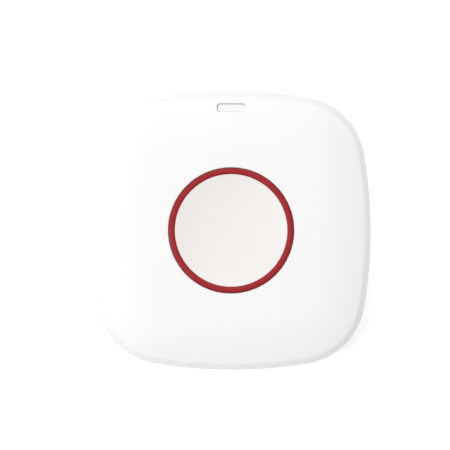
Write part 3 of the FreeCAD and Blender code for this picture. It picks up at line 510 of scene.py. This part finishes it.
def surface(name, **settings):
    """A new material: its tree, its shader and the object's own coordinates."""
    material = bpy.data.materials.new(name)
    material.use_nodes = True
    tree = material.node_tree
    shader = tree.nodes["Principled BSDF"]
    for socket, value in settings.items():
        shader.inputs[socket.replace("_", " ")].default_value = value
    place = node(tree, "ShaderNodeTexCoord", {}).outputs["Object"]
    return material, tree, shader, place


def tint(tree, shader, pattern, low, high):
    """Colour a surface between two tones by a pattern."""
    # inputs 6 and 7 and output 2 are the mix node's colours
    blend = node(tree, "ShaderNodeMix", {0: pattern, 6: srgb(low), 7: srgb(high)}, data_type="RGBA")
    tree.links.new(blend.outputs[2], shader.inputs["Base Color"])


def gloss(tree, shader, pattern, low, high):
    """Vary the roughness between two values by a pattern."""
    # inputs 3 and 4 are the ends of the new range
    spread = node(tree, "ShaderNodeMapRange", {0: pattern, 3: low, 4: high})
    tree.links.new(spread.outputs[0], shader.inputs["Roughness"])


def relief(tree, shader, pattern, height):
    """Raise the surface by a pattern, to a height in millimetres."""
    bump = node(tree, "ShaderNodeBump", {"Height": pattern, "Distance": height * MM, "Strength": 1.0})
    tree.links.new(bump.outputs["Normal"], shader.inputs["Normal"])


def grain(tree, place, size, detail=2.0):
    """A noise whose blots are about a size in millimetres across."""
    noise = node(tree, "ShaderNodeTexNoise", {"Vector": place, "Scale": per_metre(size), "Detail": detail})
    return noise.outputs[0]


def moulded_abs():
    """ABS, injection-moulded against a fine spark-eroded tool: a soft even sheen that hides fingerprints."""
    material, tree, shader, place = surface("white_abs_fine_texture", IOR=1.53)
    tint(tree, shader, grain(tree, place, 14), "#F1F1F0", "#F4F4F3")
    gloss(tree, shader, grain(tree, place, 3), 0.46, 0.54)
    # real grain is about 0.1 mm; drawn at 0.35 mm so that it shows
    relief(tree, shader, grain(tree, place, 0.35, 4.0), 0.004)
    return material


def cap_abs():
    """ABS, moulded against a stoned tool: smoother than the case, so the dish shows a soft gradient."""
    material, tree, shader, place = surface("white_abs_smooth", IOR=1.53)
    tint(tree, shader, grain(tree, place, 9), "#EBE8E5", "#ECE9E6")
    gloss(tree, shader, grain(tree, place, 2.5), 0.30, 0.35)
    relief(tree, shader, grain(tree, place, 0.3, 3.0), 0.001)
    return material


def ring_abs():
    """Red-dyed ABS, moulded with a satin finish: deep colour with a faint wide highlight along the crown."""
    material, tree, shader, place = surface("red_abs_satin", IOR=1.49, Specular_IOR_Level=0.3)
    tint(tree, shader, grain(tree, place, 5), "#99121A", "#A0161F")
    gloss(tree, shader, grain(tree, place, 1.5), 0.46, 0.54)
    relief(tree, shader, grain(tree, place, 0.4), 0.002)
    return material


def milky_acrylic():
    """Opal acrylic, moulded with a frosted face: lets light glow through and looks white when off."""
    material, tree, shader, place = surface("opal_acrylic_frosted", IOR=1.49)
    tint(tree, shader, grain(tree, place, 2), "#E8E8E7", "#ECECEB")
    gloss(tree, shader, grain(tree, place, 0.8), 0.32, 0.40)
    relief(tree, shader, grain(tree, place, 0.3), 0.001)
    return material


def natural_acetal():
    """Acetal, moulded uncoloured: slippery, waxy and slightly cream."""
    material, tree, shader, place = surface("natural_acetal_moulded", IOR=1.48)
    tint(tree, shader, grain(tree, place, 4), "#E4E2DA", "#E9E7E0")
    gloss(tree, shader, grain(tree, place, 1), 0.38, 0.48)
    relief(tree, shader, grain(tree, place, 0.3), 0.002)
    return material


def black_nylon():
    """Glass-filled nylon, moulded: dark and dull with faint pale fibres near the surface."""
    material, tree, shader, place = surface("black_nylon_glass_filled", IOR=1.53)
    tint(tree, shader, grain(tree, place, 0.5, 6.0), "#1C1D1F", "#2A2B2E")
    gloss(tree, shader, grain(tree, place, 0.6), 0.50, 0.62)
    relief(tree, shader, grain(tree, place, 0.25, 4.0), 0.004)
    return material


def silicone():
    """Silicone rubber, pressed: grey, soft and almost without shine."""
    material, tree, shader, place = surface("grey_silicone_pressed", IOR=1.41)
    tint(tree, shader, grain(tree, place, 2), "#484B50", "#52555A")
    gloss(tree, shader, grain(tree, place, 0.8), 0.60, 0.70)
    relief(tree, shader, grain(tree, place, 0.3), 0.003)
    return material


def solder_mask():
    """Glass epoxy board under green solder mask: glossy, with copper tracks showing as paler lines."""
    material, tree, shader, place = surface("green_solder_mask", IOR=1.55)
    track_pitch = 2.4
    tracks = node(tree, "ShaderNodeTexBrick", {
        "Vector": place, "Scale": per_metre(track_pitch), "Mortar Size": 0.07,
        "Color1": (0, 0, 0, 1), "Color2": (0, 0, 0, 1), "Mortar": (1, 1, 1, 1),
    }).outputs["Color"]
    tint(tree, shader, tracks, "#0F4A28", "#2A7446")
    gloss(tree, shader, tracks, 0.28, 0.20)
    relief(tree, shader, tracks, 0.03)
    return material


def nickel_plate():
    """Steel strip, pressed and nickel-plated: bright with fine rolling lines."""
    material, tree, shader, place = surface("nickel_plated_steel", Metallic=1.0)
    stretched = node(tree, "ShaderNodeMapping", {"Vector": place, "Scale": (1.0, 12.0, 12.0)}).outputs[0]
    lines = grain(tree, stretched, 1.2, 4.0)
    tint(tree, shader, lines, "#B9B7B0", "#CBC9C3")
    gloss(tree, shader, lines, 0.22, 0.34)
    relief(tree, shader, lines, 0.001)
    return material


def stainless_can():
    """Stainless steel can of a coin cell, deep-drawn and tumbled: soft even metal."""
    material, tree, shader, place = surface("stainless_deep_drawn", Metallic=1.0)
    tint(tree, shader, grain(tree, place, 1.0, 4.0), "#BDBDBB", "#CFCFCD")
    gloss(tree, shader, grain(tree, place, 0.7), 0.28, 0.38)
    relief(tree, shader, grain(tree, place, 0.3), 0.001)
    return material


def spring_wire():
    """Music wire, cold-drawn: darker steel with fine lines along the wire."""
    material, tree, shader, place = surface("music_wire_drawn", Metallic=1.0)
    tint(tree, shader, grain(tree, place, 0.6, 3.0), "#8E8D8A", "#A5A4A1")
    gloss(tree, shader, grain(tree, place, 0.4), 0.25, 0.36)
    relief(tree, shader, grain(tree, place, 0.2), 0.001)
    return material


def zinc_screws():
    """Steel screws, cold-headed and zinc-plated: bluish grey with slightly cloudy plating."""
    material, tree, shader, place = surface("zinc_plated_steel", Metallic=1.0)
    tint(tree, shader, grain(tree, place, 0.8, 3.0), "#9FA3A8", "#B7BBC0")
    gloss(tree, shader, grain(tree, place, 0.5), 0.28, 0.42)
    relief(tree, shader, grain(tree, place, 0.25), 0.002)
    return material


def tinned_copper():
    """Copper wire, hot-tinned: pale and softly uneven."""
    material, tree, shader, place = surface("tinned_copper_wire", Metallic=1.0)
    tint(tree, shader, grain(tree, place, 0.7, 3.0), "#B5B2AC", "#C9C7C2")
    gloss(tree, shader, grain(tree, place, 0.5), 0.24, 0.36)
    relief(tree, shader, grain(tree, place, 0.3), 0.003)
    return material


def chip_epoxy():
    """Epoxy moulding compound of a chip: charcoal and finely matt."""
    material, tree, shader, place = surface("charcoal_epoxy_moulded", IOR=1.55)
    tint(tree, shader, grain(tree, place, 0.3, 4.0), "#1B1B1C", "#262627")
    gloss(tree, shader, grain(tree, place, 0.4), 0.52, 0.62)
    relief(tree, shader, grain(tree, place, 0.12), 0.002)
    return material


def capacitor_ceramic():
    """Barium titanate chips, fired: tan and dull."""
    material, tree, shader, place = surface("tan_ceramic_fired", IOR=1.7)
    tint(tree, shader, grain(tree, place, 0.3, 3.0), "#8C6F4C", "#A18460")
    gloss(tree, shader, grain(tree, place, 0.3), 0.45, 0.58)
    relief(tree, shader, grain(tree, place, 0.15), 0.002)
    return material


def lamp_resin():
    """Clear resin over yellow phosphor: pale yellow and glossy."""
    material, tree, shader, place = surface("led_resin_phosphor", IOR=1.5)
    tint(tree, shader, grain(tree, place, 0.4), "#DCD48C", "#E8E1A4")
    gloss(tree, shader, grain(tree, place, 0.4), 0.18, 0.26)
    relief(tree, shader, grain(tree, place, 0.3), 0.001)
    return material


def studio_board():
    """Matt white studio board under the object, lit through from below so that it stays white."""
    material, tree, shader, place = surface("white_studio_board", IOR=1.45)
    tint(tree, shader, grain(tree, place, 40), "#F2F2F2", "#F6F6F6")
    gloss(tree, shader, grain(tree, place, 10), 0.80, 0.90)
    shader.inputs["Emission Color"].default_value = (1, 1, 1, 1)
    shader.inputs["Emission Strength"].default_value = FLOOR_GLOW
    return material


# Pieces.

def front_cover(material):
    """White cover: side wall, sloping band, crisp crease, long shoulder, flat top and the button's hole."""
    shoulder = []
    for step in range(SHOULDER_STEPS):
        inset = FLAT_INSET - SHOULDER_WIDTH * step / SHOULDER_STEPS
        shoulder.append((inset, face_level(inset)))
    inner = SIDE_DRAFT + WALL
    shell = cushion("front_cover_shell", rounded([
        (FLAT_INSET + SUPPORT, FACE),
        *shoulder,
        (BAND, CREASE, CREASE_ROUND),
        (0, CREASE - BAND, BAND_ROUND),
        (SIDE_DRAFT, PARTING, SOFT_EDGE),
        (inner, PARTING, FINE_EDGE),
        (BAND + ROOF, CREASE - ROOF, INNER_ROUND),
        (FLAT_INSET, CEILING),
        (FLAT_INSET + SUPPORT, CEILING),
    ]))
    collar = lathe("collar", rounded([
        (HOLE_RADIUS + HOLE_ROUND + SUPPORT, FACE),
        (HOLE_RADIUS, FACE, HOLE_ROUND),
        (HOLE_RADIUS, COLLAR_STEP),
        (GUIDE_RADIUS, COLLAR_STEP),
        (GUIDE_RADIUS, COLLAR_BOTTOM),
        (COLLAR_RADIUS, COLLAR_BOTTOM),
        (COLLAR_RADIUS, CEILING),
        (COLLAR_RADIUS + SUPPORT, CEILING),
    ]))
    shell = joined("front_cover_shell", shell, collar)
    bridge(shell, FACE)
    bridge(shell, CEILING)
    edit(shell)
    mend(shell)
    ribs = []
    for number in range(RIBS):
        rib = slab("rib", (COLLAR_RADIUS - SUPPORT, -RIB_WIDTH / 2, CEILING - RIB_DEPTH),
                   (HALF_WIDTH - SIDE_DRAFT, RIB_WIDTH / 2, CEILING + SUPPORT / 4))
        ribs.append(turned(rib, (number + 0.5) * 2 * math.pi / RIBS))
    unite(shell, *ribs, *four_rods(BOSS_RADIUS, TOWER_TOP, CEILING + SUPPORT / 2, SCREW_PLACE))
    carve(shell, *four_rods(CASE_SHANK_RADIUS + THREAD_CLEARANCE, TOWER_TOP - SUPPORT, BORE_TOP, SCREW_PLACE))
    half_niche = WINDOW_LENGTH / 2 + WINDOW_WIDTH
    niche_edge = WINDOW_PLACE + WINDOW_WIDTH / 2 + WINDOW_GAP
    carve(shell, slab("niche", (-half_niche, WINDOW_PLACE - WINDOW_WIDTH * 2, PARTING - SUPPORT),
                      (half_niche, niche_edge, WINDOW_CEILING)))
    carve(shell, slot_block("window_slot", WINDOW_LENGTH, WINDOW_WIDTH, WINDOW_CORNER,
                            WINDOW_CEILING - ROOF, FACE + ROOF, WINDOW_PLACE))
    fit(shell, "front_cover", "case", material)


def thumb_cap(material):
    """Dished cap, staked to the carrier under it."""
    dish = []
    for step in range(1, DISH_STEPS + 1):
        share = 1 - step / DISH_STEPS
        dish.append((CAP_RADIUS * share, CAP_EDGE - DISH_DEPTH * (1 - share * share)))
    plug = RING_FOOT_RADIUS - CAP_GAP
    cap = lathe("thumb_cap", rounded([
        (0, CAP_SEAT),
        (plug, CAP_SEAT),
        (plug, CAP_SEAT + RING_FOOT),
        (CAP_RADIUS, CAP_SEAT + RING_FOOT),
        (CAP_RADIUS, CAP_EDGE, FINE_EDGE),
        *dish,
    ]))
    stakes = []
    for number in range(STAKES):
        stake = rod("stake", STAKE_RADIUS, STAKE_BOTTOM, CAP_SEAT + RING_FOOT / 2, STAKE_CIRCLE)
        stakes.append(turned(stake, number * 2 * math.pi / STAKES))
    one_face(cap, CAP_SEAT)
    unite(cap, *stakes)
    fit(cap, "button_cap", "button", material)


def trim_ring(material):
    """Red ring with a crowned top."""
    inner = RING_RADIUS - RING_WIDTH
    top = RING_HIGH.z
    edge = top - RING_CROWN
    ring = lathe("trim_ring", rounded([
        (RING_FOOT_RADIUS, CAP_SEAT),
        (RING_RADIUS, CAP_SEAT),
        (RING_RADIUS, edge, FINE_EDGE),
        (RING_RADIUS - RING_WIDTH / 3, top, CROWN_ROUND),
        (inner + RING_WIDTH / 3, top, CROWN_ROUND),
        (inner, edge, FINE_EDGE),
        (inner, CAP_SEAT + RING_FOOT),
        (RING_FOOT_RADIUS, CAP_SEAT + RING_FOOT),
        (RING_FOOT_RADIUS, CAP_SEAT),
    ]))
    fit(ring, "button_ring", "button", material)


def light_window(material):
    """Milky light guide: a slot-shaped window, ears under the cover and a stem down to the light."""
    half_length = WINDOW_LENGTH / 2 - WINDOW_GAP
    half_width = WINDOW_WIDTH / 2 - WINDOW_GAP
    low, high = WINDOW_PLACE - half_width, WINDOW_PLACE + half_width - WINDOW_PLAY
    guide = prism("light_window", [
        (low, GUIDE_FOOT),
        (high, GUIDE_FOOT),
        (high, face_level(HALF_WIDTH - high) - WINDOW_RECESS),
        (low, face_level(HALF_WIDTH - low) - WINDOW_RECESS),
    ], WINDOW_PLAY - half_length, half_length)
    round_rims(guide, lambda edge: abs(edge.verts[0].co.z - edge.verts[1].co.z) > WINDOW_WIDTH,
               WINDOW_CORNER - WINDOW_GAP, SLOT_STEPS)
    ear = WINDOW_WIDTH / 2
    unite(guide, slab("ears", (-half_length - ear, low - ear, WINDOW_CEILING - ROOF / 2),
                      (half_length + ear, high, WINDOW_CEILING - EAR_GAP)))
    fit(guide, "light_pipe", "case", material)


def rear_shell(material):
    """White base: rounded foot, tongue, door seat, posts, screw towers and two keyholes."""
    foot = REAR_INSET + REAR_DRAFT
    shell = cushion("rear_cover_shell", rounded([
        (FLAT_INSET, 0),
        (foot, 0, REAR_EDGE),
        (REAR_INSET, REAR_TOP, SOFT_EDGE),
        (TONGUE_INSET, REAR_TOP),
        (TONGUE_INSET, TONGUE_TOP, SOFT_EDGE),
        (TONGUE_INSET + TONGUE_WALL, TONGUE_TOP, SOFT_EDGE),
        (TONGUE_INSET + TONGUE_WALL, FLOOR),
        (FLAT_INSET, FLOOR),
    ]))
    seat = lathe("seat", rounded([
        (SEAT_RADIUS, 0),
        (RECESS_RADIUS, 0, RECESS_ROUND),
        (RECESS_RADIUS, RECESS_DEPTH),
        (SEAL_RADIUS + GROOVE_HALF, RECESS_DEPTH),
        (SEAL_RADIUS + GROOVE_HALF, GROOVE_TOP),
        (SEAL_RADIUS - GROOVE_HALF, GROOVE_TOP),
        (SEAL_RADIUS - GROOVE_HALF, RECESS_DEPTH),
        (OPENING_RADIUS, RECESS_DEPTH),
        (OPENING_RADIUS, LEDGE_TOP),
        (SEAT_RADIUS, LEDGE_TOP),
        (SEAT_RADIUS, FLOOR),
    ]))
    shell = joined("rear_cover_shell", shell, seat)
    bridge(shell, 0)
    bridge(shell, FLOOR)
    edit(shell)
    mend(shell)
    rooted = FLOOR - SUPPORT
    over = FLOOR + SUPPORT
    low, high = KEYHOLE_LOW - KEYHOLE_ROOM, KEYHOLE_HIGH + KEYHOLE_ROOM
    inner, outer = RECESS_RADIUS + KEYHOLE_WALL, KEYHOLE_PLACE + KEYHOLE_ROOM
    room_top = FLOOR + KEYHOLE_DEPTH
    unite(shell,
          *four_rods(POST_RADIUS, rooted, POST_TOP, POST_PLACE),
          *four_rods(TOWER_RADIUS, rooted, TOWER_TOP, SCREW_PLACE),
          *both_sides(inner - KEYHOLE_WALL, outer + KEYHOLE_WALL, low - KEYHOLE_WALL, high + KEYHOLE_WALL,
                      rooted, room_top + KEYHOLE_WALL))
    carve(shell, *both_sides(inner, outer, low, high, FLOOR, room_top))
    for radius, y in ((KEYHOLE_ENTRY, KEYHOLE_LOW), (KEYHOLE_SLOT, KEYHOLE_HIGH)):
        carve(shell, *[rod("entry", radius, -SUPPORT, over, side * KEYHOLE_PLACE, y, KEYHOLE_SIDES)
                       for side in (1, -1)])
    carve(shell, *both_sides(KEYHOLE_PLACE - KEYHOLE_SLOT, KEYHOLE_PLACE + KEYHOLE_SLOT,
                             KEYHOLE_LOW, KEYHOLE_HIGH, -SUPPORT, over))
    notches = []
    for number in range(LUGS):
        middle = number * 2 * math.pi / LUGS - UNLOCK_ANGLE
        notches.append(wedge(SPIGOT_RADIUS, LUG_RADIUS + NOTCH_GAP, RECESS_DEPTH - SUPPORT,
                             LEDGE_TOP + SUPPORT, middle, NOTCH_ANGLE))
    carve(shell, *notches,
          *four_rods(CASE_HEAD_RADIUS + HOLE_CLEARANCE, -SUPPORT, CASE_SEAT, SCREW_PLACE),
          *four_rods(BOARD_SHANK_RADIUS + THREAD_CLEARANCE, POST_BORE_BOTTOM, POST_TOP + SUPPORT, POST_PLACE))
    carve(shell, *four_rods(CASE_SHANK_RADIUS + HOLE_CLEARANCE, 0, TOWER_TOP + SUPPORT, SCREW_PLACE))
    edit(shell)
    bpy.ops.mesh.dissolve_degenerate(threshold=SLIVER)
    mend(shell)
    fit(shell, "rear_cover", "case", material)


def both_sides(inner, outer, low, high, bottom, top):
    """A block on the right and its mirror image on the left."""
    return [slab("right", (inner, low, bottom), (outer, high, top)),
            slab("left", (-outer, low, bottom), (-inner, high, top))]


def wedge(inner, outer, low, high, middle, angle):
    """A block between two radii and two levels, about a middle direction."""
    corners = [(inner, low), (outer, low), (outer, high), (inner, high), (inner, low)]
    return lathe("wedge", corners, middle - angle / 2, angle, WEDGE_STEPS)


def door(material):
    """White bayonet door: flange, cup that holds the cell, three lugs and a coin slot."""
    spigot_top = LUG_BOTTOM + LUG_HEIGHT
    disc = lathe("door_disc", rounded([
        (0, DOOR_FACE),
        (DOOR_RADIUS, DOOR_FACE, DOOR_EDGE),
        (DOOR_RADIUS, FLANGE_TOP, FINE_EDGE),
        (SPIGOT_RADIUS, FLANGE_TOP),
        (SPIGOT_RADIUS, spigot_top, SOFT_EDGE),
        (WELL_RADIUS, spigot_top, SOFT_EDGE),
        (WELL_RADIUS, CUP_FLOOR),
        (0, CUP_FLOOR),
    ]))
    one_face(disc, DOOR_FACE)
    carve(disc, slot_block("coin_slot", COIN_SLOT_LENGTH, COIN_SLOT_WIDTH, COIN_SLOT_CORNER,
                           DOOR_FACE - SUPPORT, DOOR_FACE + COIN_SLOT_DEPTH))
    rim = COIN_SLOT_LENGTH / 2 + SAME
    round_rims(disc, lambda edge: all(abs(end.co.z - DOOR_FACE) < SAME and end.co.length < rim
                                      for end in edge.verts), SOFT_EDGE, RIM_STEPS)
    root = (SPIGOT_RADIUS + WELL_RADIUS) / 2
    unite(disc, *[wedge(root, LUG_RADIUS, LUG_BOTTOM, spigot_top, number * 2 * math.pi / LUGS, LUG_ANGLE)
                  for number in range(LUGS)])
    fit(disc, "battery_door", "door", material)


def screws(name, solid, radius, shank, face, neck, tip, place, material):
    """Four pan-head screws with cross recesses; the face is the end that the driver meets."""
    screw = lathe(name, rounded([
        (0, face),
        (radius, face, HEAD_ROUND),
        (radius, neck),
        (shank, neck),
        (shank, tip, shank / 2),
        (0, tip),
    ]), steps=SCREW_STEPS)
    one_face(screw, face)
    depth = CROSS_DEPTH if neck > face else -CROSS_DEPTH
    low, high = sorted((face - depth, face + depth))
    for length, width in ((CROSS_LENGTH, CROSS_WIDTH), (CROSS_WIDTH, CROSS_LENGTH)):
        carve(screw, slab("cross", (-length / 2, -width / 2, low), (length / 2, width / 2, high)))
    fit(at_corners(screw, place), solid, "case", material)


def return_spring(material):
    """Open coil of drawn wire, built at one length on the case's body; the real coil gets shorter as the
    button goes down.
    """
    low = SPRING_LOW.z + WIRE_RADIUS
    bpy.ops.object.select_all(action="DESELECT")
    bpy.ops.mesh.primitive_circle_add(radius=WIRE_RADIUS, vertices=WIRE_SIDES,
                                      location=(SPRING_RADIUS, 0, low), rotation=(math.pi / 2, 0, 0))
    coil = named("return_coil")
    wind = coil.modifiers.new("wind", "SCREW")
    wind.angle = SPRING_TURNS * 2 * math.pi
    wind.screw_offset = SPRING_HIGH.z - WIRE_RADIUS - low
    wind.steps = wind.render_steps = SPRING_STEPS
    bpy.ops.object.modifier_apply(modifier=wind.name)
    edit(coil)
    bpy.ops.mesh.fill_holes(sides=0)
    mend(coil)
    fit(coil, "return_spring", "case", material)
    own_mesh(coil)


def dress(material, *names):
    """Give CAD nodes a material."""
    for name in names:
        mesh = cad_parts[name].data
        mesh.materials.clear()
        mesh.materials.append(material)


# Studio.

FLOOR_GLOW = 0.34
BOARD_SIZE = 3.0
BOARD_LEVEL = -0.05 * MM
SKY_STRENGTH = 0.45
# name, direction, distance and size in metres, power in watts
SOFTBOXES = [
    ("overhead", (0, 0.001, 1), 1.8, 1.0, 2.6),
    ("key", (-0.573, -0.153, 0.806), 0.7, 0.35, 1.84),
    ("back", (0.03, 0.573, 0.819), 0.7, 0.35, 1.48),
]
PIXEL = 0.2293 * MM
PHOTO_PIXELS = 450
CAMERA_DISTANCE = 1.2
SENSOR = 36.0
AIM = Vector((-1.41, 1.24, 13.2)) * MM


def camera():
    """Long lens straight above, with the light window at the top of the picture."""
    data = bpy.data.cameras.new("camera")
    data.sensor_width = SENSOR
    data.lens = SENSOR * CAMERA_DISTANCE / (PIXEL * PHOTO_PIXELS)
    item = bpy.data.objects.new("camera", data)
    item.location = AIM + Vector((0, 0, CAMERA_DISTANCE))
    bpy.context.scene.collection.objects.link(item)
    bpy.context.scene.camera = item


def softbox(name, direction, distance, size, power):
    """A square area light that faces the object."""
    data = bpy.data.lights.new(name, "AREA")
    data.size = size
    data.energy = power
    item = bpy.data.objects.new(name, data)
    item.location = Vector(direction).normalized() * distance
    item.rotation_euler = Vector(direction).to_track_quat("Z", "Y").to_euler()
    bpy.context.scene.collection.objects.link(item)


def studio():
    """White board, soft light all round, a wide softbox overhead and two smaller ones left and behind."""
    bpy.ops.object.select_all(action="DESELECT")
    bpy.ops.mesh.primitive_plane_add(size=BOARD_SIZE, location=(0, 0, BOARD_LEVEL))
    board = named("studio_board")
    board.data.materials.append(studio_board())
    world = bpy.context.scene.world or bpy.data.worlds.new("studio")
    bpy.context.scene.world = world
    world.use_nodes = True
    sky = world.node_tree.nodes["Background"]
    sky.inputs["Color"].default_value = (1, 1, 1, 1)
    sky.inputs["Strength"].default_value = SKY_STRENGTH
    for item in SOFTBOXES:
        softbox(*item)
    bpy.context.scene.view_settings.view_transform = "Standard"


case_plastic = moulded_abs()
acetal = natural_acetal()
screw_metal = zinc_screws()
front_cover(case_plastic)
thumb_cap(cap_abs())
trim_ring(ring_abs())
light_window(milky_acrylic())
rear_shell(case_plastic)
door(case_plastic)
screws("case_screw_set", "case_screws", CASE_HEAD_RADIUS, CASE_SHANK_RADIUS,
       CASE_SCREWS_LOW.z, CASE_SEAT, CASE_SCREWS_HIGH.z, SCREW_PLACE, screw_metal)
screws("board_screw_set", "board_screws", BOARD_HEAD_RADIUS, BOARD_SHANK_RADIUS,
       BOARD_SCREWS_HIGH.z, BOARD_SEAT, BOARD_SCREWS_LOW.z, POST_PLACE, screw_metal)
return_spring(spring_wire())
dress(acetal, "button_carrier", "switch_plunger")
dress(black_nylon(), "spring_frame", "battery_holder", "switch_body")
dress(solder_mask(), "circuit_board")
dress(chip_epoxy(), "control_chip")
dress(nickel_plate(), "switch_plate", "radio_shield", "crystal", "positive_contact", "negative_contact")
dress(stainless_can(), "coin_cell")
dress(lamp_resin(), "status_led")
dress(capacitor_ceramic(), "capacitors")
dress(tinned_copper(), "antenna")
dress(silicone(), "door_seal")
studio()
camera()
